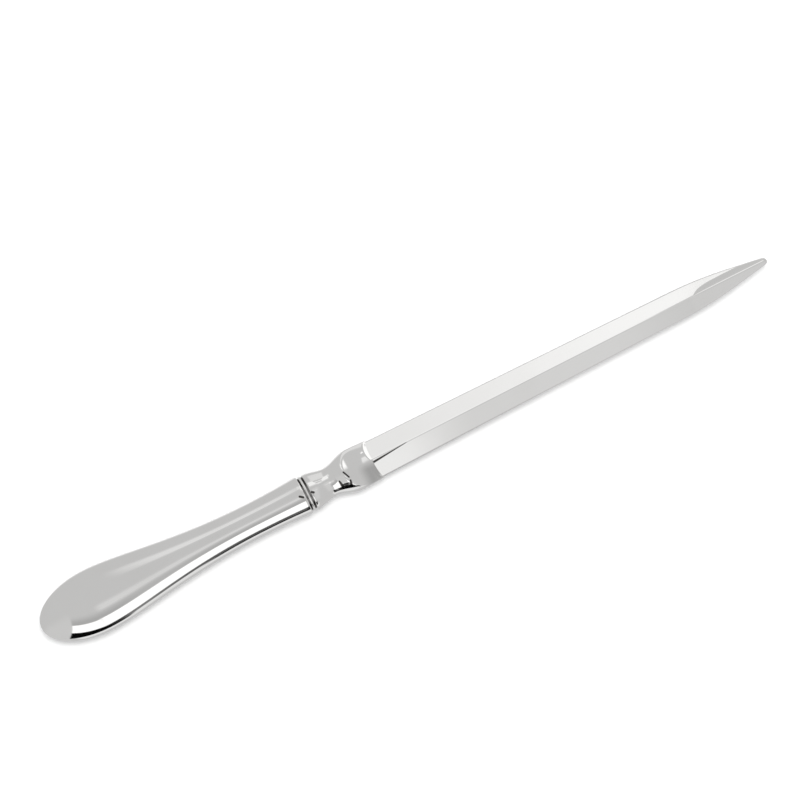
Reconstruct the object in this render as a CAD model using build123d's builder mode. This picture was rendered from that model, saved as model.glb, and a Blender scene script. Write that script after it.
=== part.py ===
from build123d import *
import os
from math import cos, hypot, pi, radians, sin, sqrt

os.makedirs("parts", exist_ok=True)

# A polished letter opener: hollow handle, bead ring, turned neck and double-bevel blade.
# It lies flat, with +X along its axis towards the point, +Y across the blade and +Z up.
# The origin is on the desk, under the middle of the opener. Sizes are in millimetres.

# Handle: two stamped halves of a pear-shaped hollow body
handle_length = 81.2
handle_width = 18.6
handle_thickness = 12.0
bulge_from_butt = 17.0
bulge_sweep = 10.8
neck_diameter = 10.1
neck_from_butt = 65.8
neck_sweep = 23.6
mouth_diameter = 11.2
mouth_lip_radius = 0.25
shell_wall = 0.7
butt_sections = 5
swell_sections = 6
flare_sections = 2

# Bead ring between the handle's mouth and the neck
ring_width = 1.7
ring_groove_diameter = 9.7
ring_bead_diameter = 10.4
ring_bead_width = 0.7

# Bolster: turned neck with a tenon behind it and a scooped shoulder in front
bolster_length = 19.8
collar_diameter = 10.4
collar_edge_radius = 0.3
waist_diameter = 8.35
waist_from_ring = 6.3
shoulder_diameter = 12.15
shoulder_from_ring = 13.7
root_diameter = 11.8
scoop_radius = 24.5
scoop_runout_angle = 8.0
facet_thickness = 3.5
facet_crown_radius = 16.0
tenon_diameter = 7.8
tenon_depth = 6.0

# Blade: diamond section with blunt edges, a straight taper and a rounded point
blade_length = 126.0
blade_root_width = 11.1
blade_thickness = 2.8
edge_land = 0.4
root_edge_advance = 0.6
root_scallop_radius = 12.4
root_ramp_angle = 45.0
root_ramp_height = 2.0
root_relief = 0.05
point_length = 20.4
point_width = 8.5
point_blend_radius = 90.0
point_facet_lead = 3.4
point_facet_slant = 0.16
tip_width = 1.9
tip_radius = 0.8
tip_thickness = 0.7
tang_width = 5.0
tang_thickness = 1.6
tang_in_handle = 48.0
tang_end_chamfer = 1.2

# Fits
slot_clearance = 0.05
bore_clearance = 0.05
filler_clearance = 0.05

# Places along the axis, and the height of the axis above the desk
total_length = handle_length + ring_width + bolster_length + blade_length
butt_x = -total_length / 2
mouth_x = butt_x + handle_length
collar_x = mouth_x + ring_width
root_x = collar_x + bolster_length
tip_x = root_x + blade_length
point_x = tip_x - point_length
axis_z = handle_thickness / 2

# Fall of the blade's bevels from the ridge to the edges, and of the ridge towards the point
taper = point_width / blade_root_width
bevel_fall = (blade_thickness - edge_land) / blade_root_width
ridge_fall = blade_thickness / 2 * (1 - taper) / (point_x - root_x)

opener_axis = Axis((0, 0, axis_z), (1, 0, 0))
plan = Plane.XY.offset(axis_z)
side = Plane((0, 0, axis_z), x_dir=(1, 0, 0), z_dir=(0, -1, 0))


def across(x):
    """Plane square to the opener's axis at x, with its own x across the blade."""
    return Plane((x, 0, axis_z), x_dir=(0, 1, 0), z_dir=(1, 0, 0))


def handle_stations(inset):
    """Place, half width and half thickness of the handle's sections, drawn in by inset."""
    half_width = handle_width / 2 - inset
    half_thickness = handle_thickness / 2 - inset
    neck = neck_diameter / 2 - inset
    mouth = mouth_diameter / 2 - inset
    stations = []
    # The butt is a quarter turn of an ellipse
    for step in range(1, butt_sections + 1):
        turn = pi / 2 * step / butt_sections
        x = bulge_from_butt - (bulge_from_butt - inset) * cos(turn)
        stations.append((x, half_width * sin(turn), half_thickness * sin(turn)))
    # From the bulge to the neck the sides follow a curve that is level at both ends
    for step in range(1, swell_sections + 1):
        t = step / swell_sections
        leave, arrive = 3 * t * (1 - t) ** 2, 3 * t**2 * (1 - t)
        fall = arrive + t**3
        x = bulge_from_butt * (1 - fall) + neck_from_butt * fall
        x += bulge_sweep * leave - neck_sweep * arrive
        width = half_width + (neck - half_width) * fall
        thickness = half_thickness + (neck - half_thickness) * fall
        stations.append((x, width, thickness))
    # The neck opens slightly to the mouth
    for step in range(1, flare_sections + 1):
        t = step / flare_sections
        radius = neck + (mouth - neck) * t**2
        stations.append((neck_from_butt + (handle_length - neck_from_butt) * t, radius, radius))
    return stations


def handle_sections(inset):
    """Sections of the handle, drawn in by inset, from the tip of the butt to the mouth."""
    sections = [Vertex(butt_x + inset, 0, axis_z)]
    for x, half_width, half_thickness in handle_stations(inset):
        with BuildSketch(across(butt_x + x)) as section:
            Ellipse(half_width, half_thickness)
        sections.append(section.sketch)
    return sections


def level_curve(start, end):
    """Curve of a profile that leaves its start and reaches its end level."""
    third = (end[0] - start[0]) / 3
    return Bezier(start, (start[0] + third, start[1]), (end[0] - third, end[1]), end)


def bevel_plane(face, hand):
    """Plane of a blade bevel: face is 1 above and -1 below, hand is the side of the ridge."""
    return Plane(
        (root_x, 0, axis_z + face * blade_thickness / 2),
        x_dir=(1, 0, -face * ridge_fall),
        z_dir=(ridge_fall, hand * bevel_fall, face),
    )


def scallop_centre():
    """Centre of the arc that each half of the root follows, measured from the ridge's root."""
    chord = hypot(root_edge_advance, blade_root_width / 2)
    reach = sqrt(root_scallop_radius**2 - chord**2 / 4) / chord
    x = root_edge_advance / 2 + reach * blade_root_width / 2
    y = blade_root_width / 4 - reach * root_edge_advance
    return x, y


def root_curve():
    """Line where blade and bolster meet: two shallow scallops with their cusp on the ridge."""
    x, y = scallop_centre()
    for hand in (1, -1):
        hollow = (root_x + x - root_scallop_radius, hand * y)
        corner = (root_x + root_edge_advance, hand * blade_root_width / 2)
        ThreePointArc((root_x, 0), hollow, corner)


with BuildPart() as handle_body:
    loft(handle_sections(0))
    loft(handle_sections(shell_wall), mode=Mode.SUBTRACT)

# The handle is stamped as two halves that meet in the plane of the blade
for name, half in (("upper_handle_shell", Keep.TOP), ("lower_handle_shell", Keep.BOTTOM)):
    with BuildPart() as handle_shell:
        add(handle_body.part)
        split(bisect_by=plan, keep=half)
        mouth_edges = handle_shell.edges().group_by(Axis.X)[-1]
        fillet(mouth_edges.sort_by(SortBy.LENGTH)[-1], radius=mouth_lip_radius)
    handle_shell.part.label = name
    export_step(handle_shell.part, f"parts/{name}.step")

# Cement fills the handle round the tenon and the tang
with BuildPart() as handle_filler:
    loft(handle_sections(shell_wall + filler_clearance))
    with BuildSketch(across(mouth_x)):
        Circle(tenon_diameter / 2 + bore_clearance)
    extrude(amount=-tenon_depth - bore_clearance, mode=Mode.SUBTRACT)
    with BuildSketch(across(mouth_x)):
        Rectangle(tang_width + 2 * slot_clearance, tang_thickness + 2 * slot_clearance)
    extrude(amount=-tang_in_handle - slot_clearance, mode=Mode.SUBTRACT)
handle_filler.part.label = "handle_filler"
export_step(handle_filler.part, "parts/handle_filler.step")

# The ring's bead stands between two grooves
with BuildPart() as collar_ring:
    bore = tenon_diameter / 2 + bore_clearance
    groove = ring_groove_diameter / 2
    ring_middle = mouth_x + ring_width / 2
    bead_start = ring_middle - ring_bead_width / 2
    bead_end = ring_middle + ring_bead_width / 2
    with BuildSketch(side):
        with BuildLine():
            Polyline((bead_start, groove), (mouth_x, groove), (mouth_x, bore))
            Line((mouth_x, bore), (collar_x, bore))
            Polyline((collar_x, bore), (collar_x, groove), (bead_end, groove))
            ThreePointArc((bead_end, groove), (ring_middle, ring_bead_diameter / 2), (bead_start, groove))
        make_face()
    revolve(axis=opener_axis)
collar_ring.part.label = "collar_ring"
export_step(collar_ring.part, "parts/collar_ring.step")

# The bolster is turned, then its shoulder is scooped above and below
with BuildPart() as bolster:
    tenon = tenon_diameter / 2
    tenon_x = mouth_x - tenon_depth
    collar = collar_diameter / 2
    crown_x = collar_x + collar_edge_radius
    waist = (collar_x + waist_from_ring, waist_diameter / 2)
    shoulder = (collar_x + shoulder_from_ring, shoulder_diameter / 2)
    shoulder_end = (root_x + root_edge_advance, root_diameter / 2)
    with BuildSketch(side):
        with BuildLine():
            Polyline((shoulder_end[0], 0), (tenon_x, 0), (tenon_x, tenon), (collar_x, tenon))
            Line((collar_x, tenon), (collar_x, collar - collar_edge_radius))
            RadiusArc((collar_x, collar - collar_edge_radius), (crown_x, collar), collar_edge_radius)
            level_curve((crown_x, collar), waist)
            level_curve(waist, shoulder)
            level_curve(shoulder, shoulder_end)
            Line(shoulder_end, (shoulder_end[0], 0))
        make_face()
    revolve(axis=opener_axis)
    # Each scoop is turned about an axis beyond the far side, which crowns the facet across
    runout = radians(scoop_runout_angle)
    crown_offset = facet_crown_radius - facet_thickness / 2
    scoop_x = shoulder_end[0] + scoop_radius * sin(runout)
    scoop_z = facet_thickness / 2 + scoop_radius * cos(runout)
    for face in (1, -1):
        with BuildSketch(side):
            with BuildLine():
                scoop_turn = face * (90 - scoop_runout_angle)
                scoop_arc = CenterArc((scoop_x, face * scoop_z), scoop_radius, 180, scoop_turn)
                Polyline(
                    scoop_arc @ 1,
                    (shoulder_end[0], -face * crown_offset),
                    (tenon_x, -face * crown_offset),
                    (tenon_x, face * scoop_z),
                    scoop_arc @ 0,
                )
            make_face()
        revolve(axis=Axis((0, 0, axis_z - face * crown_offset), (1, 0, 0)), mode=Mode.INTERSECT)
    with BuildSketch(plan):
        with BuildLine():
            root_curve()
            root_corner = (root_x + root_edge_advance, blade_root_width / 2)
            Polyline(
                root_corner,
                (root_corner[0], shoulder_diameter),
                (tip_x, shoulder_diameter),
                (tip_x, -shoulder_diameter),
                (root_corner[0], -shoulder_diameter),
                (root_corner[0], -root_corner[1]),
            )
        make_face()
    extrude(amount=shoulder_diameter, both=True, mode=Mode.SUBTRACT)
    # A cone stands on each bevel and ramps the end of the facet down to it
    scallop_x, scallop_y = scallop_centre()
    for face in (1, -1):
        for hand in (1, -1):
            with BuildSketch(bevel_plane(face, hand)):
                with Locations((scallop_x, face * hand * scallop_y)):
                    Circle(root_scallop_radius + root_relief)
            extrude(amount=root_ramp_height, taper=-root_ramp_angle, mode=Mode.SUBTRACT)
    with BuildSketch(across(tenon_x)):
        Rectangle(tang_width + 2 * slot_clearance, tang_thickness + 2 * slot_clearance)
    extrude(amount=shoulder_end[0] - tenon_x, mode=Mode.SUBTRACT)
bolster.part.label = "bolster"
export_step(bolster.part, "parts/bolster.step")

# The blade's blank is cut to its outline, then ground to four bevels and four point facets
with BuildPart() as blade:
    facet_x = point_x - point_facet_lead
    facet_ridge = blade_thickness / 2 - ridge_fall * (facet_x - root_x)
    facet_fall = (facet_ridge - tip_thickness / 2) / (tip_x - facet_x)
    with BuildSketch(plan) as outline:
        with BuildLine():
            root_curve()
            Polyline(
                (root_x + root_edge_advance, blade_root_width / 2),
                (point_x, point_width / 2),
                (tip_x, tip_width / 2),
                (tip_x, -tip_width / 2),
                (point_x, -point_width / 2),
                (root_x + root_edge_advance, -blade_root_width / 2),
            )
        make_face()
        corners = outline.vertices().group_by(Axis.X)
        fillet(corners[-2], radius=point_blend_radius)
        fillet(outline.vertices().group_by(Axis.X)[-1], radius=tip_radius)
    extrude(amount=blade_thickness / 2, both=True)
    for face in (1, -1):
        for hand in (1, -1):
            split(bisect_by=bevel_plane(face, hand), keep=Keep.BOTTOM)
            point_facet = Plane(
                (facet_x, 0, axis_z + face * facet_ridge),
                z_dir=(facet_fall, hand * point_facet_slant, face),
            )
            split(bisect_by=point_facet, keep=Keep.BOTTOM)
    with BuildSketch(across(root_x)):
        Rectangle(tang_width, tang_thickness)
    extrude(amount=-bolster_length - ring_width - tang_in_handle)
    tang_end = blade.edges().filter_by(Axis.Z).group_by(Axis.X)[0]
    chamfer(tang_end, length=tang_end_chamfer)
blade.part.label = "blade"
export_step(blade.part, "parts/blade.step")
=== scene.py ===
from math import asin, cos, degrees, hypot, pi, radians, sin, sqrt

import bpy
import numpy as np
from bpy.props import FloatProperty, FloatVectorProperty, PointerProperty
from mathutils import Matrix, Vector


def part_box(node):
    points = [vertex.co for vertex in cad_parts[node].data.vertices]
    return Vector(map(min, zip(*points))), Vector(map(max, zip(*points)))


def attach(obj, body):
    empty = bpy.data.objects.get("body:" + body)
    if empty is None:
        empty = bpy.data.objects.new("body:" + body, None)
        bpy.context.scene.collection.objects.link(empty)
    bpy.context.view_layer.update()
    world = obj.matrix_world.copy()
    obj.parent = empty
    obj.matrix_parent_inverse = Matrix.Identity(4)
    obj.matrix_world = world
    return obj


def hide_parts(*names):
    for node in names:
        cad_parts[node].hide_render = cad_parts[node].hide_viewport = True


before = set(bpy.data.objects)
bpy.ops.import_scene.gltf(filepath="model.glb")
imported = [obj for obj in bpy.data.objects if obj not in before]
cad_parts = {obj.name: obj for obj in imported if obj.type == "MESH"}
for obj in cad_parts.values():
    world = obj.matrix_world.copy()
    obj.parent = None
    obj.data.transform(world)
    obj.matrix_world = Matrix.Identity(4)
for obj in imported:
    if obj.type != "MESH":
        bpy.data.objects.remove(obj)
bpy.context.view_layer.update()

bl_info = {
    "name": "Letter opener",
    "version": (1, 0, 0),
    "blender": (4, 5, 0),
    "location": "3D View > Sidebar > Opener",
    "description": "Builds the polished surfaces of a letter opener and the studio round it",
    "category": "Add Mesh",
}

MM = 0.001
BODY = "root"

# Places along the opener's axis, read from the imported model
HANDLE_LOW, HANDLE_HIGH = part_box("upper_handle_shell")
RING_LOW, RING_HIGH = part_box("collar_ring")
BOLSTER_LOW, BOLSTER_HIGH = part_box("bolster")
BLADE_LOW, BLADE_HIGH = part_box("blade")
BUTT_X = HANDLE_LOW.x
MOUTH_X = RING_LOW.x
COLLAR_X = RING_HIGH.x
SHOULDER_END_X = BOLSTER_HIGH.x
TIP_X = BLADE_HIGH.x
AXIS_Z = (RING_LOW.z + RING_HIGH.z) / 2

# Bowed sides of the studio's near panel on its map, in degrees: place of the middle and bow
PANEL_SIDE = (-25.9, 0.0044)
PANEL_TOP = (48.5, 0.0195)
PANEL_FOOT = (86.5, 0.0165)
STRIP_FOOT = (114.0, 0.0040)

# Straight ends of the panel and the strip, softness of their sides and the fades beside them, in degrees
PANEL_END = -5.0
STRIP_END = 13.0
PANEL_SOFT = 1.2
SIDE_WALL_FADE = (-15.0, 20.0)
NEAR_GAP_DEPTH = (-32.0, -5.0, 4.0, 6.0)
NEAR_GAP_END = (3.0, 12.0)

# Soft rectangles of the studio's map, in degrees: where each side starts, is full, ends and is over,
# first to the right and then to the near side
FAR_SIDE_PATCH = ((9, 14, 26, 34), (-4, 4, 60, 90))
FAR_WALL_PATCH = ((18, 25, 54, 60), (-108, -90, -46, -41))
ROOT_PANEL_PATCH = ((58, 61, 110, 120), (-75, -70, -20, -12))
FLOOR_LINE_PATCH = ((-62, -50, 18, 28), (98, 106, 126, 140))
FAR_FLOOR_EDGE = (-140, -122)

# Cards round the opener, in millimetres and degrees: how far off and how far round to the near side, then
# the places where each side starts, is full, ends and is over, first along the opener and then across to
# the near side
BACK_CARD = (294, 0, (-80, -42, -18, 8), (-500, -285, -210, -155))
BEVEL_CARD = (294, 0, (0, 24, 206, 212), (-226, -219, -198, -191))
COLLAR_CARD = (297, 0, (-20, 10, 140, 160), (-420, -250, -150, -60))
RIDGE_CARD = (300, 0, (142, 165, 210, 226), (-152, -128, -95, -50))
GLOW_CARD = (294, 0, (-135, -95, 120, 160), (20, 72, 100, 160))
NEAR_CARD = (178, 66, (-130, -100, -26, -18), (-68, -60, 134, 150))

# Changes of brightness on the cards: places along them, and across the near one at its foot
BEVEL_CARD_RISE = (20 * MM, 160 * MM)
GLOW_CARD_MIDDLE = (-20 * MM, 10 * MM, 24 * MM, 60 * MM)
NEAR_CARD_FOOT = (66 * MM, 73 * MM)
NEAR_CARD_FADE = (-115 * MM, -60 * MM)
NEAR_CARD_BREAK = (-80 * MM, -66 * MM, -54 * MM, -34 * MM)

# Painted dark reflections, drawn as dark strokes in plan: start, end, half width at the start and at the end
MOUTH_PAINTED_REFLECTION = ((-34.7 * MM, -0.9 * MM), (-33.9 * MM, -1.5 * MM), 0.36 * MM, 0.36 * MM)
COLLAR_PAINTED_REFLECTION = ((-31.1 * MM, -1.2 * MM), (-30.7 * MM, -1.5 * MM), 0.38 * MM, 0.38 * MM)
CREASE_PAINTED_REFLECTION = ((-20.8 * MM, -0.3 * MM), (-20.0 * MM, -2.1 * MM), 0.28 * MM, 0.28 * MM)
CREASE_FOOT_PAINTED_REFLECTION = ((-20.0 * MM, -3.1 * MM), (-20.3 * MM, -4.2 * MM), 0.30 * MM, 0.45 * MM)
WAIST_PAINTED_REFLECTION = ((-22.9 * MM, -1.9 * MM), (-22.6 * MM, -3.3 * MM), 0.28 * MM, 0.50 * MM)
RIDGE_PAINTED_REFLECTION = ((-11.7 * MM, -0.85 * MM), (-1.0 * MM, -0.1 * MM), 0.38 * MM, 0.08 * MM)

# Soft side of a stroke, in shares of its half width
STROKE_SOFT = (0.5, 1.2)

# Painted shade on the shoulder's facet, darker towards the blade and on the near side: where it comes in
# along the opener and where it ends across it
FACET_PAINTED_SHADE = (-17.5 * MM, -13.8 * MM)
FACET_PAINTED_SHADE_SIDE = (-2.4 * MM, 0.3 * MM)

# Where the ring's grooves are rubbed bright, across the opener, and how much of the tarnish is gone there
GROOVE_RUB = (-4.0 * MM, -2.5 * MM, 0.0 * MM, 2.0 * MM)
GROOVE_RUB_SHARE = 0.25

# Heights over the axis between which the painted dark reflections and the painted shade come in, so that they
# stay on the upper side
UPPER_SIDE = (0.0, 1.0 * MM)

# Smears and lengthwise lines of the polish: the pattern, then what they add to the film, the roughness
# and the bump
SMEAR_NOISE = {"Scale": 90.0, "Detail": 4.0}
SMEAR_FILM = (0.35, 0.75)
SMEAR_FILM_SHARE = 0.5
SMEAR_DULL = (0.45, 0.75)
SMEAR_ROUGHNESS = 0.03
LINE_STRETCH = (60.0, 3000.0, 3000.0)
LINE_NOISE = {"Scale": 1.0, "Detail": 2.0}
LINE_FILM_SHARE = 0.3
LINE_ROUGHNESS = 0.02
LINE_BUMP = {"Strength": 0.04, "Distance": 0.01 * MM}

# Mottle and grain of the cement
MOTTLE_NOISE = {"Scale": 260.0, "Detail": 6.0}
MOTTLE_RANGE = (0.35, 0.7)
PALE_CEMENT = 1.25
GRAIN_NOISE = {"Scale": 2200.0, "Detail": 3.0}
GRAIN_BUMP = {"Strength": 0.3, "Distance": 0.1 * MM}
CEMENT_ROUGHNESS = 0.85
GRAIN_ROUGHNESS = 0.1

# Sockets of the Mix node for colours, whose names it uses more than once
MIX_FIRST = 6
MIX_SECOND = 7
MIX_RESULT = 2

# Side of the floor, and width of the camera's sensor in millimetres
FLOOR_SIZE = 6.0
SENSOR = 36.0

# Grid steps of the surfaces, where they change, and how far a ray is searched for the bolster's skin
BUTT_ROWS = 40
SWELL_ROWS = 60
FLARE_ROWS = 14
LIP_ROWS = 6
HALF_TURN_STEPS = 120
TURN_STEPS = 288
BEAD_ROWS = 24
COLLAR_ROWS = 12
BISECTION_STEPS = 40
RAY_REACH = 1.5
NECK_ROWS = 30
SHOULDER_ROWS = 90
RAMP_ROWS = 60
ROOT_ROWS = 12
RAMP_ZONE = 2.0 * MM
ROOT_MARGIN = 0.1 * MM
RIDGE_SHARE = 0.08
EDGE_SHARE = 0.8
RIDGE_COLUMNS = 12
BEVEL_COLUMNS = 22
EDGE_COLUMNS = 28
BLADE_ROWS = 70
POINT_ROWS = 110
TIP_ROWS = 20

# Rounding between the point's facets and the bevels, and the angle past which an edge is shaded sharp
FACET_SOFT = 0.01 * MM
SHARP_ANGLE = radians(40)


def length(name, description, default):
    """A length that a user can change, shown in the scene's units."""
    return FloatProperty(name=name, description=description, default=default, unit="LENGTH", precision=5)


def angle(name, description, default):
    """An angle that a user can change, given here in degrees."""
    return FloatProperty(name=name, description=description, default=radians(default), unit="ROTATION")


def share(name, description, default):
    """A number between nothing and one that a user can change."""
    return FloatProperty(name=name, description=description, default=default, min=0, max=1, subtype="FACTOR")


def shade(name, description, default):
    """A brightness that a user can change."""
    return FloatProperty(name=name, description=description, default=default, min=0)


def colour(name, description, default):
    """A colour that a user can change."""
    return FloatVectorProperty(name=name, description=description, default=default, subtype="COLOR")


class HandleShape(bpy.types.PropertyGroup):
    """Sizes of the pear-shaped hollow handle."""

    width: length("Width", "Across the bulge", HANDLE_HIGH.y - HANDLE_LOW.y)
    thickness: length("Thickness", "Through the bulge", 2 * (HANDLE_HIGH.z - AXIS_Z))
    bulge_place: length("Bulge place", "From the butt to the widest section", 17.0 * MM)
    bulge_sweep: length("Bulge sweep", "How far the sides run on level from the bulge", 10.8 * MM)
    neck_diameter: length("Neck diameter", "Across the slimmest section", 10.1 * MM)
    neck_place: length("Neck place", "From the butt to the slimmest section", 65.8 * MM)
    neck_sweep: length("Neck sweep", "How far the sides come in level to the neck", 23.6 * MM)
    mouth_diameter: length("Mouth diameter", "Across the open end", 11.2 * MM)
    lip_radius: length("Lip radius", "Round on the edge of the mouth", 0.25 * MM)
    wall: length("Wall", "Thickness of the stamped sheet", 0.7 * MM)


class RingShape(bpy.types.PropertyGroup):
    """Sizes of the bead ring."""

    groove_diameter: length("Groove diameter", "Across the grooves beside the bead", 9.7 * MM)
    bead_diameter: length("Bead diameter", "Across the bead", RING_HIGH.y - RING_LOW.y)
    bead_width: length("Bead width", "Along the axis", 0.7 * MM)
    bore_diameter: length("Bore diameter", "Hole for the tenon", 7.9 * MM)


class BolsterShape(bpy.types.PropertyGroup):
    """Sizes of the turned neck with its scooped shoulder."""

    collar_diameter: length("Collar diameter", "Beside the bead ring", 10.4 * MM)
    collar_edge_radius: length("Collar edge", "Round on the collar's edge", 0.3 * MM)
    waist_diameter: length("Waist diameter", "At the slimmest place", 8.35 * MM)
    waist_place: length("Waist place", "From the ring", 6.3 * MM)
    shoulder_diameter: length("Shoulder diameter", "At the widest place", BOLSTER_HIGH.y - BOLSTER_LOW.y)
    shoulder_place: length("Shoulder place", "From the ring", 13.7 * MM)
    root_diameter: length("Root diameter", "Where the blade begins", 11.8 * MM)
    scoop_radius: length("Scoop radius", "Of the hollow between shoulder and facet", 24.5 * MM)
    scoop_runout: angle("Scoop runout", "Slope of the facet where it reaches the blade", 8.0)
    facet_thickness: length("Facet thickness", "Between the two facets at the blade", 3.5 * MM)
    facet_crown: length("Facet crown", "Radius of the facet across the axis", 16.0 * MM)
    crease_round: length("Crease round", "Rounding of the edge between shoulder and facet", 0.6 * MM)
    ramp_round: length("Ramp round", "Rounding of the edge above the blade's root", 0.3 * MM)
    tenon_diameter: length("Tenon diameter", "Inside the handle", 7.8 * MM)


class BladeShape(bpy.types.PropertyGroup):
    """Sizes of the double-bevel blade."""

    root_width: length("Root width", "At the shoulder", BLADE_HIGH.y - BLADE_LOW.y)
    thickness: length("Thickness", "At the root of the ridge", BLADE_HIGH.z - BLADE_LOW.z)
    edge_land: length("Edge land", "Thickness of the blunt edges", 0.4 * MM)
    edge_round: length("Edge round", "How far the edges are rounded in", 0.28 * MM)
    ridge_round: length("Ridge round", "Softening of the ridges", 0.10 * MM)
    point_round: length("Point round", "Added softening of the ridge in the point", 0.2 * MM)
    root_advance: length("Root advance", "How far the root's corners lie ahead of its middle", 0.6 * MM)
    root_scallop: length("Root scallop", "Radius of the two hollows of the root line", 12.4 * MM)
    point_length: length("Point length", "From the end of the straight edges", 20.4 * MM)
    point_width: length("Point width", "Where the point begins", 8.5 * MM)
    point_blend: length("Point blend", "Rounding between the straight edges and the point", 1.32 * MM)
    facet_lead: length("Facet lead", "How far the point's facets begin before its outline", 3.4 * MM)
    facet_reach: length("Facet reach", "From the ridge to the outer line of the point's facets", 2.05 * MM)
    facet_onset: length("Facet onset", "How soon the point's facets reach that line", 2.0 * MM)
    facet_slant: share("Facet slant", "Slope of the point's facets towards the edges", 0.16)
    point_fall: share("Point fall", "Added slope of the ridge towards the tip", 0.0229)
    tip_width: length("Tip width", "Where the straight edges would end", 1.9 * MM)
    tip_radius: length("Tip radius", "Round of the tip in plan", 1.0 * MM)
    tang_width: length("Tang width", "Inside the neck and the handle", 5.0 * MM)
    tang_thickness: length("Tang thickness", "Inside the neck and the handle", 1.6 * MM)
    tang_chamfer: length("Tang chamfer", "At the tang's end", 1.2 * MM)


class FinishLook(bpy.types.PropertyGroup):
    """Colours and finish of the metal and the cement."""

    metal: colour("Metal", "Colour of the bright plate", (0.93, 0.925, 0.915))
    film: colour("Film", "Colour of the plate under a smear", (0.90, 0.893, 0.88))
    # Dark colour for real tarnish in the ring's grooves, and for the painted dark reflections and painted
    # shade on the plate
    tarnish_and_painted_dark: colour("Tarnish", "Colour of the plate in corners and grooves", (0.05, 0.047, 0.044))
    # Painted shade: how dark the shoulder's facet is painted beside the blade, standing in for a darker
    # reflection
    facet_painted_shade: share("Facet stain", "How far the shoulder's facet has dulled beside the blade", 0.36)
    roughness: share("Roughness", "Of the cleanest polish", 0.05)
    cement: colour("Cement", "Colour of the handle's filling", (0.42, 0.38, 0.33))


class StudioLook(bpy.types.PropertyGroup):
    """Camera, floor and light."""

    azimuth: angle("Azimuth", "Of the camera, from straight in front", -27.48)
    elevation: angle("Elevation", "Of the camera above the floor", 77.0)
    distance: length("Distance", "From the camera to the opener", 830.0 * MM)
    view_width: length("View width", "Width of the picture at the opener", 223.9 * MM)
    aim_right: length("Aim right", "From the opener's middle to the picture's", -2.6 * MM)
    aim_up: length("Aim up", "From the opener's middle to the picture's", 11.6 * MM)
    floor: colour("Floor", "Colour of the floor", (0.96, 0.96, 0.96))
    fill: shade("Fill", "Even light on the floor", 0.78)
    lamp_power: FloatProperty(name="Lamp power", description="Of the soft lamp", default=6.8, unit="POWER")
    lamp_size: length("Lamp size", "Across the soft lamp", 400.0 * MM)
    lamp_distance: length("Lamp distance", "From the opener to the lamp", 1200.0 * MM)
    lamp_tilt: angle("Lamp tilt", "Of the lamp from straight above, to the far side", -2.5)
    lamp_turn: angle("Lamp turn", "Of the lamp from straight behind", 0.0)
    room: shade("Room", "Grey of the room in the polish", 0.57)
    side_wall: shade("Side wall", "Towards the butt, beside the near panel", 0.615)
    near_gap: shade("Near gap", "Shade above the near panel", 0.42)
    far_side: shade("Far side", "Towards the point", 0.64)
    far_wall: shade("Far wall", "Low over the far side", 0.76)
    root_panel: shade("Root panel", "In the ramps at the blade's root", 1.1)
    far_floor: shade("Far floor", "Below the horizon on the far side", 0.85)
    floor_line: shade("Floor line", "Under the dark strip", 0.80)
    dark_strip: shade("Dark strip", "Under the near panel", 0.002)
    dark_strip_end: shade("Dark strip end", "Where the strip runs out towards the point", 0.06)
    strip_break: shade("Strip break", "How much paler the strip is in one place", 0.15)
    near_panel: shade("Near panel", "Bright panel on the viewer's side", 1.15)
    back_card: shade("Back card", "Bright card over the far side", 0.77)
    collar_card: shade("Collar card", "Bright card in the collar's far side", 0.96)
    ridge_card: shade("Ridge card", "Small card in the ridge of the point", 0.85)
    bevel_card: shade("Bevel card", "Bright card in the blade's far bevel, over its root", 0.84)
    bevel_card_end: shade("Bevel card end", "The same card towards the point", 1.0)
    glow_card: shade("Glow card", "Dim card over the near side", 0.69)
    glow_card_middle: shade("Glow card middle", "The same card over the blade's root", 0.89)


class Wire:
    """A shader value: Python sums on it add Math nodes to its graph."""

    def __init__(self, graph, socket):
        self.graph = graph
        self.socket = socket

    def maths(self, operation, *terms):
        """A Math node of the given operation on the terms, or on this value where none are given."""
        sockets = dict(enumerate(terms or (self,)))
        return self.graph.node("ShaderNodeMath", {"operation": operation}, sockets)

    def __add__(self, other):
        return self.maths("ADD", self, other)

    def __radd__(self, other):
        return self.maths("ADD", other, self)

    def __sub__(self, other):
        return self.maths("SUBTRACT", self, other)

    def __rsub__(self, other):
        return self.maths("SUBTRACT", other, self)

    def __mul__(self, other):
        return self.maths("MULTIPLY", self, other)

    def __rmul__(self, other):
        return self.maths("MULTIPLY", other, self)

    def __truediv__(self, other):
        return self.maths("DIVIDE", self, other)

    def ramp(self, start, end):
        """A smooth step of this value, from 0 at start to 1 at end."""
        sockets = {"Value": self, "From Min": start, "From Max": end}
        return self.graph.node("ShaderNodeMapRange", {"interpolation_type": "SMOOTHSTEP"}, sockets)


class Graph:
    """The node tree of a material or a world."""

    def __init__(self, owner):
        owner.use_nodes = True
        self.tree = owner.node_tree
        self.tree.nodes.clear()

    def node(self, kind, settings=None, sockets=None, output=0):
        """A node of this kind, with its settings made first, then its sockets set or linked."""
        node = self.tree.nodes.new(kind)
        for name, value in (settings or {}).items():
            setattr(node, name, value)
        for name, value in (sockets or {}).items():
            if isinstance(value, Wire):
                self.tree.links.new(value.socket, node.inputs[name])
            else:
                node.inputs[name].default_value = value
        return Wire(self, node.outputs[output]) if node.outputs else node

    def mix(self, factor, first, second):
        """A colour between the first and the second."""
        sockets = {"Factor": factor, MIX_FIRST: first, MIX_SECOND: second}
        return self.node("ShaderNodeMix", {"data_type": "RGBA"}, sockets, output=MIX_RESULT)

    def axes(self, vector):
        """The x, y and z of a vector."""
        return [self.node("ShaderNodeSeparateXYZ", {}, {"Vector": vector}, output=axis) for axis in "XYZ"]


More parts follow.
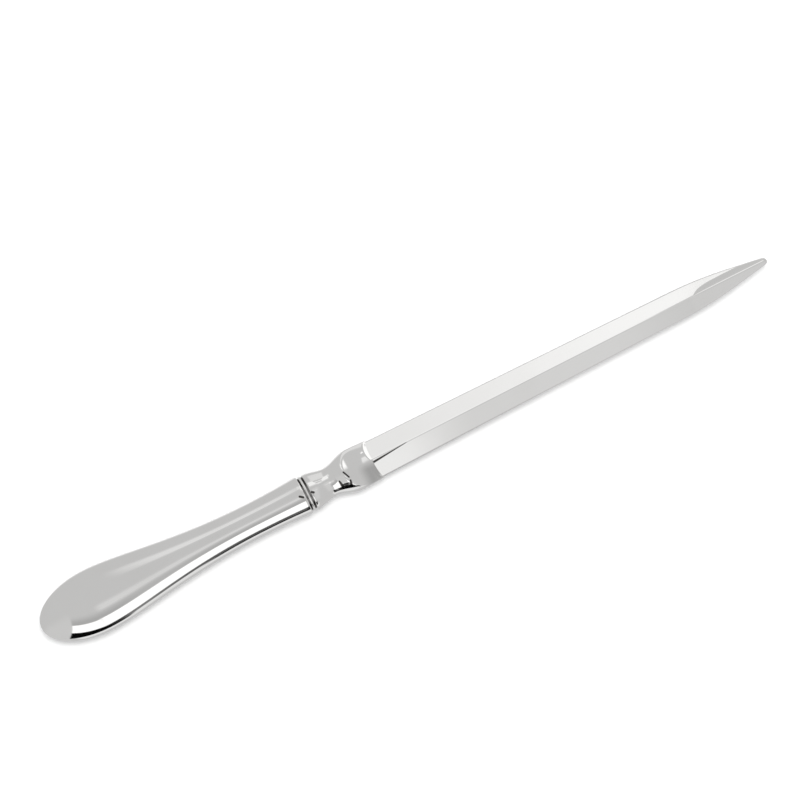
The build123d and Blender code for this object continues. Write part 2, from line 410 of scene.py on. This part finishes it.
def smooth_step(x, start, end):
    """A cubic step in x that is level at its start, 0, and at its end, 1."""
    t = np.clip((x - start) / (end - start), 0, 1)
    return t * t * (3 - 2 * t)


def smooth_max(a, b, width):
    """The larger of two values, with the corner between them rounded over width."""
    overlap = np.maximum(width - np.abs(a - b), 0)
    return np.maximum(a, b) + overlap**2 / (4 * width)


def smooth_min(a, b, width):
    """The smaller of two values, with the corner between them rounded over width."""
    return -smooth_max(-a, -b, width)


def quads_between(first, second):
    """Quads between two rows of point numbers, of which the second row lies ahead of the first."""
    return np.stack([first[:-1], first[1:], second[1:], second[:-1]], axis=-1)


def grid_quads(index):
    """Quads of a grid of point numbers whose rows run ahead and whose columns turn from y to z."""
    return quads_between(index.T, np.roll(index, -1, axis=0).T)[:, :-1].reshape(-1, 4)


def fan(pole, row):
    """Triangles from a pole to a row of points."""
    return np.stack([np.full(len(row) - 1, pole), row[:-1], row[1:]], axis=-1)


def tube(points):
    """Faces of rows of points that close round the axis, with a pole before and after them."""
    rows, columns = points.shape[:2]
    index = np.arange(rows * columns).reshape(rows, columns)
    index = np.hstack([index, index[:, :1]])
    first_pole = rows * columns
    return [
        grid_quads(index),
        fan(first_pole, index[0])[:, ::-1],
        fan(first_pole + 1, index[-1]),
    ]


def with_poles(points, first_x, last_x):
    """The grid's points as one list, followed by the poles on the axis."""
    poles = [(first_x, 0, AXIS_Z), (last_x, 0, AXIS_Z)]
    return np.vstack([points.reshape(-1, 3), poles])


def make_piece(name, points, faces, material):
    """A mesh object of the points and faces, which rides with the body and has the slot's finish."""
    mesh = bpy.data.meshes.new(name)
    mesh.from_pydata(points.tolist(), [], [face for group in faces for face in group.tolist()])
    mesh.polygons.foreach_set("use_smooth", np.ones(len(mesh.polygons), dtype=bool))
    mesh.set_sharp_from_angle(angle=SHARP_ANGLE)
    mesh.materials.append(material)
    piece = bpy.data.objects.new(name, mesh)
    bpy.context.scene.collection.objects.link(piece)
    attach(piece, BODY)
    return piece


def handle_profile(shape, inset, lip):
    """Stations of the handle's skin, drawn in by inset: place from the butt, half width, half thickness.

    The butt is a quarter turn of an ellipse. The sides then follow a cubic Bezier curve that is level at
    the bulge and at the neck. The neck opens with the square of the way to the mouth, where a quarter
    round of radius lip ends the skin.
    """
    mouth_place = MOUTH_X - BUTT_X
    neck = shape.neck_diameter / 2 - inset
    mouth = shape.mouth_diameter / 2 - inset
    turn = np.linspace(0, pi / 2, BUTT_ROWS + 1)[1:]
    t = np.linspace(0, 1, SWELL_ROWS + 1)[1:]
    leave = 3 * t * (1 - t) ** 2
    arrive = 3 * t**2 * (1 - t)
    fall = arrive + t**3
    flare = np.linspace(0, 1, FLARE_ROWS + 1)[1:]
    lip_turn = np.linspace(0, pi / 2, LIP_ROWS + 1)[1:]
    lip_place = mouth_place - shape.lip_radius
    swell = shape.bulge_place * (1 - fall) + shape.neck_place * fall
    place = np.concatenate([
        shape.bulge_place - (shape.bulge_place - inset) * np.cos(turn),
        swell + shape.bulge_sweep * leave - shape.neck_sweep * arrive,
        shape.neck_place + (lip_place - shape.neck_place) * flare,
        lip_place + shape.lip_radius * np.sin(lip_turn),
    ])

    def half_size(bulge):
        return np.concatenate([
            bulge * np.sin(turn),
            bulge + (neck - bulge) * fall,
            neck + (mouth - neck) * flare**2,
            mouth - lip * (1 - np.cos(lip_turn)),
        ])

    return place, half_size(shape.width / 2 - inset), half_size(shape.thickness / 2 - inset)


def half_shell(shape, side):
    """Points and faces of one half of the hollow handle. side is 1 for the upper half and -1 for the lower.

    At angle v over half a turn a station gives y = half width * cos v and z = half thickness * sin v. The
    rows run along the outer skin from the butt to the mouth and back along the inner skin, and two flat
    strips close the long edges where the halves meet.
    """
    v = np.linspace(0, pi, HALF_TURN_STEPS + 1)
    skins = []
    for inset, lip in ((0, shape.lip_radius), (shape.wall, 0)):
        place, half_width, half_thickness = handle_profile(shape, inset, lip)
        x = np.broadcast_to(BUTT_X + place[:, None], (len(place), len(v)))
        y = half_width[:, None] * np.cos(v)
        z = AXIS_Z + side * half_thickness[:, None] * np.sin(v)
        skins.append(np.stack([x, y, z], axis=-1))
    outer, inner = skins
    stations = len(outer)
    points = with_poles(np.concatenate([outer, inner[::-1]]), BUTT_X, BUTT_X + shape.wall)
    index = np.arange(2 * stations * len(v)).reshape(2 * stations, len(v))
    outer_pole = index.size
    inner_pole = outer_pole + 1
    faces = [grid_quads(index), fan(outer_pole, index[0])[:, ::-1], fan(inner_pole, index[-1])]
    for column, order in ((0, 1), (-1, -1)):
        outer_edge = np.append(outer_pole, index[:stations, column])
        inner_edge = np.append(inner_pole, index[:stations - 1:-1, column])
        faces.append(quads_between(outer_edge, inner_edge)[:, ::order])
    return points, [group[:, ::side] for group in faces]


def ring_surface(shape):
    """Points and faces of the bead ring.

    A closed profile, a circular bead that stands between two grooves over a plain bore, is turned once
    round the axis.
    """
    bore = shape.bore_diameter / 2
    groove = shape.groove_diameter / 2
    bead = shape.bead_diameter / 2
    half_bead = shape.bead_width / 2
    rise = bead - groove
    bead_radius = (half_bead**2 + rise**2) / (2 * rise)
    span = asin(half_bead / bead_radius)
    turn = np.linspace(-span, span, BEAD_ROWS + 1)
    x = (MOUTH_X + COLLAR_X) / 2 + bead_radius * np.sin(turn)
    x = np.concatenate([[MOUTH_X, MOUTH_X], x, [COLLAR_X, COLLAR_X]])
    radius = bead - bead_radius * (1 - np.cos(turn))
    radius = np.concatenate([[bore, groove], radius, [groove, bore]])
    points = turned(x, radius)
    rows, columns = points.shape[:2]
    index = np.arange(rows * columns).reshape(rows, columns)
    index = np.hstack([index, index[:, :1]])
    index = np.vstack([index, index[:1]])
    return points.reshape(-1, 3), [grid_quads(index)]


def turned(x, radius):
    """Rows of points on circles of the given radii round the axis at x."""
    t = np.linspace(0, 2 * pi, TURN_STEPS, endpoint=False)
    y = radius[:, None] * np.cos(t)
    z = AXIS_Z + radius[:, None] * np.sin(t)
    return np.stack([np.broadcast_to(x[:, None], y.shape), y, z], axis=-1)


def neck_radius(shape, x):
    """Radius of the turned neck at x: smooth steps from the collar to the waist, shoulder and root."""
    stations = (
        (COLLAR_X + shape.collar_edge_radius, shape.collar_diameter / 2),
        (COLLAR_X + shape.waist_place, shape.waist_diameter / 2),
        (COLLAR_X + shape.shoulder_place, shape.shoulder_diameter / 2),
        (SHOULDER_END_X, shape.root_diameter / 2),
    )
    radius = np.full_like(x, stations[0][1])
    for (start, before), (end, after) in zip(stations, stations[1:]):
        radius = radius + (after - before) * smooth_step(x, start, end)
    return radius


def facet_height(shape, x):
    """Height of the scooped facet's middle over the axis: an arc that runs out at the blade's root."""
    scoop_x = SHOULDER_END_X + shape.scoop_radius * sin(shape.scoop_runout)
    scoop_z = shape.facet_thickness / 2 + shape.scoop_radius * cos(shape.scoop_runout)
    reach = np.clip((x - scoop_x) / shape.scoop_radius, -1, 0)
    return scoop_z - shape.scoop_radius * np.sqrt(1 - reach**2)


def bevel_height(shape, x, y):
    """Height of the blade's flat bevels over the axis: they fall from the ridge and towards the point."""
    root_x = SHOULDER_END_X - shape.root_advance
    point_x = TIP_X - shape.point_length
    taper = shape.point_width / shape.root_width
    ridge_fall = shape.thickness / 2 * (1 - taper) / (point_x - root_x)
    bevel_fall = (shape.thickness - shape.edge_land) / shape.root_width
    return shape.thickness / 2 - ridge_fall * (x - root_x) - bevel_fall * np.abs(y)


def behind_root(shape, x, y):
    """How far a place lies behind the root line, which is an arc on each side of the ridge."""
    half_width = shape.root_width / 2
    chord = hypot(shape.root_advance, half_width)
    reach = sqrt(shape.root_scallop**2 - chord**2 / 4) / chord
    centre_x = SHOULDER_END_X - shape.root_advance / 2 + reach * half_width
    centre_y = half_width / 2 - reach * shape.root_advance
    return np.hypot(x - centre_x, np.abs(y) - centre_y) - shape.root_scallop


def bolster_distance(shape, blade, x, y, z):
    """Distance from the bolster's skin, positive outside: the rounded meeting of neck, facets and ramps."""
    neck = np.hypot(y, z) - neck_radius(shape, x)
    crown_centre = shape.facet_crown - shape.facet_thickness / 2
    facet = np.hypot(y, np.abs(z) + crown_centre) - crown_centre - facet_height(shape, x)
    ramp = (np.abs(z) - bevel_height(blade, x, y) - behind_root(blade, x, y)) / sqrt(2)
    shoulder = smooth_max(neck, facet, shape.crease_round)
    return smooth_max(shoulder, ramp, shape.ramp_round)


def bolster_surface(shape, blade):
    """Points and faces of the bolster.

    Behind the collar a profile of tenon, shoulder and quarter round is turned about the axis. From there
    on the point of each row and direction is found by halving the way along a ray from the axis to where
    the distance from the skin is nothing. The directions are spaced as on an ellipse of the row's size.
    """
    tenon = shape.tenon_diameter / 2
    collar = shape.collar_diameter / 2
    edge = shape.collar_edge_radius
    turn = np.linspace(0, pi / 2, COLLAR_ROWS + 1)
    back_x = np.concatenate([[BOLSTER_LOW.x, COLLAR_X], COLLAR_X + edge * (1 - np.cos(turn))])
    back_radius = np.concatenate([[tenon, tenon], collar - edge * (1 - np.sin(turn))])
    back = turned(back_x, back_radius)

    crown_x = COLLAR_X + edge
    scoop_x = COLLAR_X + shape.waist_place
    ramp_x = SHOULDER_END_X - RAMP_ZONE
    root_x = SHOULDER_END_X + ROOT_MARGIN
    end_x = SHOULDER_END_X - blade.root_advance + blade.thickness / 2
    x = np.concatenate([
        np.linspace(crown_x, scoop_x, NECK_ROWS)[1:],
        np.linspace(scoop_x, ramp_x, SHOULDER_ROWS)[1:],
        np.linspace(ramp_x, root_x, RAMP_ROWS)[1:],
        np.linspace(root_x, end_x, ROOT_ROWS)[1:-1],
    ])[:, None]
    t = np.linspace(0, 2 * pi, TURN_STEPS, endpoint=False)
    wide = neck_radius(shape, x)
    high = np.minimum(wide, facet_height(shape, x))
    across = wide * np.cos(t)
    up = high * np.sin(t)
    size = np.hypot(across, up)
    across, up = across / size, up / size
    near = np.zeros_like(across)
    far = np.broadcast_to(RAY_REACH * wide, across.shape)
    for _ in range(BISECTION_STEPS):
        middle = (near + far) / 2
        inside = bolster_distance(shape, blade, x, middle * across, middle * up) < 0
        near = np.where(inside, middle, near)
        far = np.where(inside, far, middle)
    front = np.stack([np.broadcast_to(x, near.shape), near * across, AXIS_Z + near * up], axis=-1)
    points = np.concatenate([back, front])
    return with_poles(points, BOLSTER_LOW.x, end_x), tube(points)


def blade_half_width(shape, x):
    """Half width of the blade at x: a straight taper, rounded into the point, with a round tip."""
    root_half = shape.root_width / 2
    point_half = shape.point_width / 2
    tip_half = shape.tip_width / 2
    point_x = TIP_X - shape.point_length
    taper = root_half + (point_half - root_half) * (x - SHOULDER_END_X) / (point_x - SHOULDER_END_X)
    point = tip_half + (point_half - tip_half) * (TIP_X - x) / shape.point_length
    sides = smooth_min(np.minimum(taper, root_half), point, shape.point_blend)
    beyond = np.clip((x - TIP_X) / shape.tip_radius + 1, 0, 1)
    return np.where(beyond > 0, np.minimum(sides, shape.tip_radius * np.sqrt(1 - beyond**2)), sides)


def blade_surface(shape):
    """Points and faces of the blade with its tang.

    A section at x has its columns at shares of the half width, close together near the ridge and the
    edges. The height over the axis is that of the bevel, which falls faster in the point. There a flatter
    facet lowers the ridge, out to a line that opens from the ridge and then runs level with it. The ridge
    is softened, and a quarter ellipse rounds the section off at the edge. The tang follows behind as a
    flat bar on the same columns.
    """
    root_x = SHOULDER_END_X - shape.root_advance
    point_x = TIP_X - shape.point_length
    back_x = root_x - shape.root_advance
    half = np.concatenate([
        np.linspace(0, RIDGE_SHARE, RIDGE_COLUMNS)[:-1],
        np.linspace(RIDGE_SHARE, EDGE_SHARE, BEVEL_COLUMNS)[:-1],
        EDGE_SHARE + (1 - EDGE_SHARE) * np.sin(np.linspace(0, pi / 2, EDGE_COLUMNS)),
    ])
    top = np.concatenate([half[:0:-1], -half])
    columns = np.concatenate([top, top[-2:0:-1]])
    face = np.concatenate([np.ones(len(top)), -np.ones(len(top) - 2)])
    face[[0, len(top) - 1]] = 0
    facet_x = point_x - shape.facet_lead
    tip_turn = np.linspace(0, pi / 2, TIP_ROWS)[1:-1]
    x = np.concatenate([
        np.linspace(back_x, facet_x, BLADE_ROWS)[:-1],
        np.linspace(facet_x, TIP_X - shape.tip_radius, POINT_ROWS),
        TIP_X - shape.tip_radius * (1 - np.sin(tip_turn)),
    ])[:, None]
    half_width = blade_half_width(shape, x)
    y = columns * half_width
    into_point = np.maximum(x - facet_x, 0)
    opened = 1 - np.exp(-into_point / shape.facet_onset)
    ridge_round = shape.ridge_round + shape.point_round * opened
    soft_y = np.hypot(y, ridge_round)
    bevel_fall = (shape.thickness - shape.edge_land) / shape.root_width
    lowered = (bevel_fall - shape.facet_slant) * (shape.facet_reach * opened - soft_y)
    height = bevel_height(shape, x, soft_y) - shape.point_fall * into_point
    height = height - smooth_max(lowered, 0, FACET_SOFT)
    round_in = np.minimum(shape.edge_round, half_width / 2)
    outward = np.clip(1 - (half_width - np.abs(y)) / round_in, 0, 1)
    beyond = np.clip((x - TIP_X) / shape.tip_radius + 1, 0, 1)
    height = height * np.sqrt(1 - outward**2) * np.sqrt(1 - beyond**2)
    body = np.stack([np.broadcast_to(x, y.shape), y, AXIS_Z + face * height], axis=-1)

    tang_x = np.array([BLADE_LOW.x, BLADE_LOW.x + shape.tang_chamfer, back_x])[:, None]
    tang_half = shape.tang_width / 2 - np.array([shape.tang_chamfer, 0, 0])[:, None]
    tang_y = columns * tang_half
    tang_z = AXIS_Z + np.broadcast_to(face * shape.tang_thickness / 2, tang_y.shape)
    tang = np.stack([np.broadcast_to(tang_x, tang_y.shape), tang_y, tang_z], axis=-1)
    points = np.concatenate([tang, body])
    return with_poles(points, BLADE_LOW.x, TIP_X), tube(points)


def polished_metal(name, look, tarnish_and_painted_dark_amount):
    """Bright plate: faint smears dull the polish and fine lengthwise lines are left in it.

    The function given last says how far the plate is darkened, between 0 and 1, from the place on it: real
    tarnish in the ring's grooves, painted dark reflections in strokes and painted shade on the shoulder's
    facet.
    """
    material = bpy.data.materials.new(name)
    graph = Graph(material)
    place = graph.node("ShaderNodeTexCoord", output="Object")
    smear = graph.node("ShaderNodeTexNoise", {}, {"Vector": place, **SMEAR_NOISE})
    drawn = graph.node("ShaderNodeVectorMath", {"operation": "MULTIPLY"}, {0: place, 1: LINE_STRETCH})
    lines = graph.node("ShaderNodeTexNoise", {}, {"Vector": drawn, **LINE_NOISE})
    filmed = SMEAR_FILM_SHARE * smear.ramp(*SMEAR_FILM) + LINE_FILM_SHARE * lines
    film = graph.mix(filmed, (*look.metal, 1), (*look.film, 1))
    x, y, z = graph.axes(place)
    dulled = look.roughness + SMEAR_ROUGHNESS * smear.ramp(*SMEAR_DULL)
    surface = graph.node("ShaderNodeBsdfPrincipled", {}, {
        "Base Color": graph.mix(tarnish_and_painted_dark_amount(x, y, z - AXIS_Z), film, (*look.tarnish_and_painted_dark, 1)),
        "Metallic": 1.0,
        "Roughness": dulled + LINE_ROUGHNESS * lines,
        "Normal": graph.node("ShaderNodeBump", {}, {"Height": lines, **LINE_BUMP}),
    })
    graph.node("ShaderNodeOutputMaterial", {}, {"Surface": surface})
    return material


def stroke(x, y, start, end, first_width, last_width):
    """A dark stroke in plan from start to end, whose half width runs from the first to the last."""
    run_x, run_y = end[0] - start[0], end[1] - start[1]
    along = ((x - start[0]) * run_x + (y - start[1]) * run_y) / (run_x**2 + run_y**2)
    along = x.graph.node("ShaderNodeClamp", {}, {"Value": along})
    off_x = x - start[0] - along * run_x
    off_y = y - start[1] - along * run_y
    off = (off_x * off_x + off_y * off_y).maths("SQRT")
    return 1 - (off / (first_width + (last_width - first_width) * along)).ramp(*STROKE_SOFT)


def cast_cement(name, look):
    """Matt cement, with a mottled colour and a grainy surface."""
    material = bpy.data.materials.new(name)
    graph = Graph(material)
    place = graph.node("ShaderNodeTexCoord", output="Object")
    mottle = graph.node("ShaderNodeTexNoise", {}, {"Vector": place, **MOTTLE_NOISE})
    grain = graph.node("ShaderNodeTexNoise", {}, {"Vector": place, **GRAIN_NOISE})
    pale = tuple(min(1, PALE_CEMENT * part) for part in look.cement)
    surface = graph.node("ShaderNodeBsdfPrincipled", {}, {
        "Base Color": graph.mix(mottle.ramp(*MOTTLE_RANGE), (*look.cement, 1), (*pale, 1)),
        "Roughness": CEMENT_ROUGHNESS + GRAIN_ROUGHNESS * grain,
        "Normal": graph.node("ShaderNodeBump", {}, {"Height": grain, **GRAIN_BUMP}),
    })
    graph.node("ShaderNodeOutputMaterial", {}, {"Surface": surface})
    return material


class OPENER_OT_handle(bpy.types.Operator):
    """Build the two stamped halves of the hollow handle"""

    bl_idname = "opener.handle"
    bl_label = "Handle"

    def execute(self, context):
        scene = context.scene

        # Painted dark reflection: a dark stroke by the mouth, on the upper side only
        def painted_reflection_at_mouth(x, y, z):
            return stroke(x, y, *MOUTH_PAINTED_REFLECTION) * z.ramp(*UPPER_SIDE)

        material = polished_metal("handle_plate", scene.opener_finish, painted_reflection_at_mouth)
        for name, side in (("upper_handle_shell", 1), ("lower_handle_shell", -1)):
            points, faces = half_shell(scene.opener_handle, side)
            piece = make_piece(f"polished_{name}", points, faces, material)
            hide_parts(name)
        return {"FINISHED"}


class OPENER_OT_ring(bpy.types.Operator):
    """Build the bead ring between handle and neck"""

    bl_idname = "opener.ring"
    bl_label = "Bead ring"

    def execute(self, context):
        scene = context.scene
        shape = scene.opener_ring
        groove = shape.groove_diameter / 2
        bead = shape.bead_diameter / 2

        def in_grooves(x, y, z):
            depth = 1 - (y * y + z * z).maths("SQRT").ramp(groove, (groove + bead) / 2)
            return depth * (1 - GROOVE_RUB_SHARE * band(y, *GROOVE_RUB))

        material = polished_metal("ring_plate", scene.opener_finish, in_grooves)
        points, faces = ring_surface(shape)
        piece = make_piece("polished_ring", points, faces, material)
        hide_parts("collar_ring")
        return {"FINISHED"}


class OPENER_OT_bolster(bpy.types.Operator):
    """Build the turned neck with its scooped shoulder"""

    bl_idname = "opener.bolster"
    bl_label = "Bolster"

    def execute(self, context):
        scene = context.scene

        # Painted dark reflections as strokes at the crease, its foot, the waist and the collar, and painted
        # shade on the shoulder's facet beside the blade, all on the upper side
        def painted_reflections_and_shade(x, y, z):
            marks = stroke(x, y, *CREASE_PAINTED_REFLECTION) + stroke(x, y, *CREASE_FOOT_PAINTED_REFLECTION)
            marks = marks + stroke(x, y, *WAIST_PAINTED_REFLECTION) + stroke(x, y, *COLLAR_PAINTED_REFLECTION)
            painted_shade = x.ramp(*FACET_PAINTED_SHADE) * (1 - y.ramp(*FACET_PAINTED_SHADE_SIDE))
            return (marks + scene.opener_finish.facet_painted_shade * painted_shade) * z.ramp(*UPPER_SIDE)

        material = polished_metal("neck_plate", scene.opener_finish, painted_reflections_and_shade)
        points, faces = bolster_surface(scene.opener_bolster, scene.opener_blade)
        piece = make_piece("polished_bolster", points, faces, material)
        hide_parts("bolster")
        return {"FINISHED"}


class OPENER_OT_blade(bpy.types.Operator):
    """Build the double-bevel blade with its tang"""

    bl_idname = "opener.blade"
    bl_label = "Blade"

    def execute(self, context):
        scene = context.scene

        # Painted dark reflection: a tapering dark stroke beside the ridge at the blade's root, on the upper
        # side
        def painted_reflection_by_ridge(x, y, z):
            return stroke(x, y, *RIDGE_PAINTED_REFLECTION) * z.ramp(*UPPER_SIDE)

        material = polished_metal("blade_plate", scene.opener_finish, painted_reflection_by_ridge)
        points, faces = blade_surface(scene.opener_blade)
        piece = make_piece("polished_blade", points, faces, material)
        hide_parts("blade")
        return {"FINISHED"}


class OPENER_OT_filler(bpy.types.Operator):
    """Give the handle's filling its cement"""

    bl_idname = "opener.filler"
    bl_label = "Handle filling"

    def execute(self, context):
        material = cast_cement("handle_cement", context.scene.opener_finish)
        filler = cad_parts["handle_filler"]
        for slot in filler.material_slots:
            slot.material = material
        return {"FINISHED"}


class OPENER_OT_studio(bpy.types.Operator):
    """Set the floor, the light and the camera"""

    bl_idname = "opener.studio"
    bl_label = "Studio"

    def execute(self, context):
        scene = context.scene
        look = scene.opener_studio
        add_floor(look)
        add_sky(scene, look)
        add_cards(look)
        add_lamp(scene, look)
        scene.view_settings.view_transform = "Standard"
        add_camera(scene, look)
        return {"FINISHED"}


def add_floor(look):
    """A level square under the opener."""
    half = FLOOR_SIZE / 2
    mesh = bpy.data.meshes.new("floor")
    corners = [(-half, -half, 0), (half, -half, 0), (half, half, 0), (-half, half, 0)]
    mesh.from_pydata(corners, [], [(0, 1, 2, 3)])
    material = bpy.data.materials.new("pale_floor")
    graph = Graph(material)
    surface = graph.node("ShaderNodeBsdfDiffuse", {}, {"Color": (*look.floor, 1)})
    graph.node("ShaderNodeOutputMaterial", {}, {"Surface": surface})
    mesh.materials.append(material)
    floor = bpy.data.objects.new("floor", mesh)
    bpy.context.scene.collection.objects.link(floor)
    floor.visible_glossy = False


class StudioMap:
    """Directions round the opener on a flat map, in degrees.

    The zenith is at the middle and the way from it is the angle from the zenith. Right is towards the
    point and near is towards the edge of the picture that the viewer stands at.
    """

    def __init__(self, graph):
        direction = graph.node("ShaderNodeTexCoord", output="Generated")
        x, y, z = graph.axes(direction)
        stretch = z.maths("ARCCOSINE") * degrees(1) / (x * x + y * y).maths("SQRT")
        self.right = stretch * x
        self.near = -1 * stretch * y

    def patch(self, right, near):
        """1 inside a soft rectangle. Each side is four values: where it starts, is full, ends and is over."""
        return band(self.right, *right) * band(self.near, *near)


def bowed(value, side):
    """A side of a panel, bowed with the square of the value along it."""
    middle, bow = side
    return middle - bow * value * value


def past(distance):
    """1 past a panel's side and 0 before it, with a narrow soft edge."""
    return distance.ramp(-PANEL_SOFT, PANEL_SOFT)


def band(value, start, full, end, over):
    """1 between full and end, and a smooth step to 0 at start and over."""
    return value.ramp(start, full) * (1 - value.ramp(end, over))


def add_sky(scene, look):
    """The studio that the polish mirrors: an even grey room with bright panels and one dark strip.

    Only glossy rays see the room. All others see an even pale grey, which lights the floor.
    """
    world = bpy.data.worlds.new("studio")
    scene.world = world
    graph = Graph(world)
    studio = StudioMap(graph)
    side = bowed(studio.near, PANEL_SIDE)
    top = bowed(studio.right, PANEL_TOP)
    foot = bowed(studio.right, PANEL_FOOT)
    ahead = past(studio.right - side)
    beside = past(side - studio.right) * studio.near.ramp(*SIDE_WALL_FADE)
    gap = ahead * band(studio.near - top, *NEAR_GAP_DEPTH) * (1 - studio.right.ramp(*NEAR_GAP_END))
    panel = ahead * past(PANEL_END - studio.right) * past(studio.near - top) * past(foot - studio.near)
    below = past(studio.near - foot) * past(bowed(studio.right, STRIP_FOOT) - studio.near)
    tone = look.room
    for level, mask in (
        (look.side_wall, beside),
        (look.near_gap, gap),
        (look.far_side, studio.patch(*FAR_SIDE_PATCH)),
        (look.far_wall, studio.patch(*FAR_WALL_PATCH)),
        (look.root_panel, studio.patch(*ROOT_PANEL_PATCH)),
        (look.floor_line, studio.patch(*FLOOR_LINE_PATCH)),
        (look.far_floor, 1 - studio.near.ramp(*FAR_FLOOR_EDGE)),
        (look.dark_strip, below * ahead * past(STRIP_END - studio.right)),
        (look.near_panel, panel),
    ):
        tone = tone + (level - tone) * mask
    glossy = graph.node("ShaderNodeLightPath", output="Is Glossy Ray")
    light = graph.node("ShaderNodeBackground", {}, {"Color": look.fill + (tone - look.fill) * glossy})
    graph.node("ShaderNodeOutputWorld", {}, {"Surface": light})


def add_card(name, layout, shine):
    """A flat card that faces the opener, with soft sides, which only the polish sees.

    layout is one of the cards at the top. shine gives the brightness from the places along and across.
    """
    distance, round_to, *sides = layout
    round_to = radians(round_to)
    along, across = ([MM * value for value in side] for side in sides)
    out = np.array([0, -sin(round_to), cos(round_to)])
    near = np.array([0, -cos(round_to), -sin(round_to)])
    middle = np.array([0, 0, AXIS_Z]) + distance * MM * out
    corners = [middle + v * near + (u, 0, 0) for u, v in (
        (along[0], across[0]), (along[3], across[0]), (along[3], across[3]), (along[0], across[3]),
    )]
    mesh = bpy.data.meshes.new(name)
    mesh.from_pydata(corners, [], [(0, 1, 2, 3)])
    material = bpy.data.materials.new(name)
    graph = Graph(material)
    place = graph.node("ShaderNodeTexCoord", output="Object")
    x, y, z = graph.axes(place)
    v = y * near[1] + (z - AXIS_Z) * near[2]
    clear = graph.node("ShaderNodeBsdfTransparent")
    bright = graph.node("ShaderNodeEmission", {}, {"Color": shine(x, v)})
    inside = band(x, *along) * band(v, *across)
    surface = graph.node("ShaderNodeMixShader", {}, {0: inside, 1: clear, 2: bright})
    graph.node("ShaderNodeOutputMaterial", {}, {"Surface": surface})
    mesh.materials.append(material)
    card = bpy.data.objects.new(name, mesh)
    card.visible_camera = False
    card.visible_diffuse = False
    card.visible_shadow = False
    bpy.context.scene.collection.objects.link(card)


def add_cards(look):
    """Cards over the far side, the blade's far bevel, the near side, the collar and the point's ridge.

    One more stands on the near side, bright above its foot and dark below, as the near panel is.
    """

    def even(tone):
        return lambda x, v: (tone, tone, tone, 1)

    def bevel_shine(x, v):
        return look.bevel_card + (look.bevel_card_end - look.bevel_card) * x.ramp(*BEVEL_CARD_RISE)

    def glow_shine(x, v):
        return look.glow_card + (look.glow_card_middle - look.glow_card) * band(x, *GLOW_CARD_MIDDLE)

    def near_shine(x, v):
        dark = look.dark_strip + (look.dark_strip_end - look.dark_strip) * x.ramp(*NEAR_CARD_FADE)
        dark = dark + look.strip_break * band(x, *NEAR_CARD_BREAK)
        return look.near_panel + (dark - look.near_panel) * v.ramp(*NEAR_CARD_FOOT)

    add_card("back_card", BACK_CARD, even(look.back_card))
    add_card("bevel_card", BEVEL_CARD, bevel_shine)
    add_card("glow_card", GLOW_CARD, glow_shine)
    add_card("collar_card", COLLAR_CARD, even(look.collar_card))
    add_card("ridge_card", RIDGE_CARD, even(look.ridge_card))
    add_card("near_card", NEAR_CARD, near_shine)


def add_lamp(scene, look):
    """A large soft lamp above the opener, which the polish doesn't mirror."""
    data = bpy.data.lights.new("lamp", "AREA")
    data.shape = "DISK"
    data.size = look.lamp_size
    data.energy = look.lamp_power
    lamp = bpy.data.objects.new("lamp", data)
    towards = Vector((
        sin(look.lamp_turn) * sin(look.lamp_tilt),
        cos(look.lamp_turn) * sin(look.lamp_tilt),
        cos(look.lamp_tilt),
    ))
    lamp.location = look.lamp_distance * towards
    lamp.rotation_euler = towards.to_track_quat("Z", "Y").to_euler()
    lamp.visible_glossy = False
    scene.collection.objects.link(lamp)


def add_camera(scene, look):
    """A long lens that looks at the opener from the given side."""
    back = Vector((
        sin(look.azimuth) * cos(look.elevation),
        -cos(look.azimuth) * cos(look.elevation),
        sin(look.elevation),
    ))
    turn = back.to_track_quat("Z", "Y")
    middle = Vector((0, 0, AXIS_Z))
    aim = middle + turn @ Vector((look.aim_right, look.aim_up, 0))
    data = bpy.data.cameras.new("camera")
    data.sensor_width = SENSOR
    data.lens = SENSOR * look.distance / look.view_width
    camera = bpy.data.objects.new("camera", data)
    camera.rotation_euler = turn.to_euler()
    camera.location = aim + look.distance * back
    scene.collection.objects.link(camera)
    scene.camera = camera


class OPENER_PT_panel(bpy.types.Panel):
    """Lists the steps that build the opener"""

    bl_idname = "OPENER_PT_panel"
    bl_label = "Letter opener"
    bl_space_type = "VIEW_3D"
    bl_region_type = "UI"
    bl_category = "Opener"

    def draw(self, context):
        for step in STEPS:
            self.layout.operator(step.bl_idname)


STEPS = (
    OPENER_OT_handle,
    OPENER_OT_ring,
    OPENER_OT_bolster,
    OPENER_OT_blade,
    OPENER_OT_filler,
    OPENER_OT_studio,
)
SETTINGS = {
    "opener_handle": HandleShape,
    "opener_ring": RingShape,
    "opener_bolster": BolsterShape,
    "opener_blade": BladeShape,
    "opener_finish": FinishLook,
    "opener_studio": StudioLook,
}


def register():
    for cls in (*SETTINGS.values(), *STEPS, OPENER_PT_panel):
        bpy.utils.register_class(cls)
    for name, group in SETTINGS.items():
        setattr(bpy.types.Scene, name, PointerProperty(type=group))


def unregister():
    for name in SETTINGS:
        delattr(bpy.types.Scene, name)
    for cls in (OPENER_PT_panel, *reversed(STEPS), *reversed(SETTINGS.values())):
        bpy.utils.unregister_class(cls)


def main():
    register()
    bpy.ops.opener.handle()
    bpy.ops.opener.ring()
    bpy.ops.opener.bolster()
    bpy.ops.opener.blade()
    bpy.ops.opener.filler()
    bpy.ops.opener.studio()


if __name__ == "__main__":
    main()
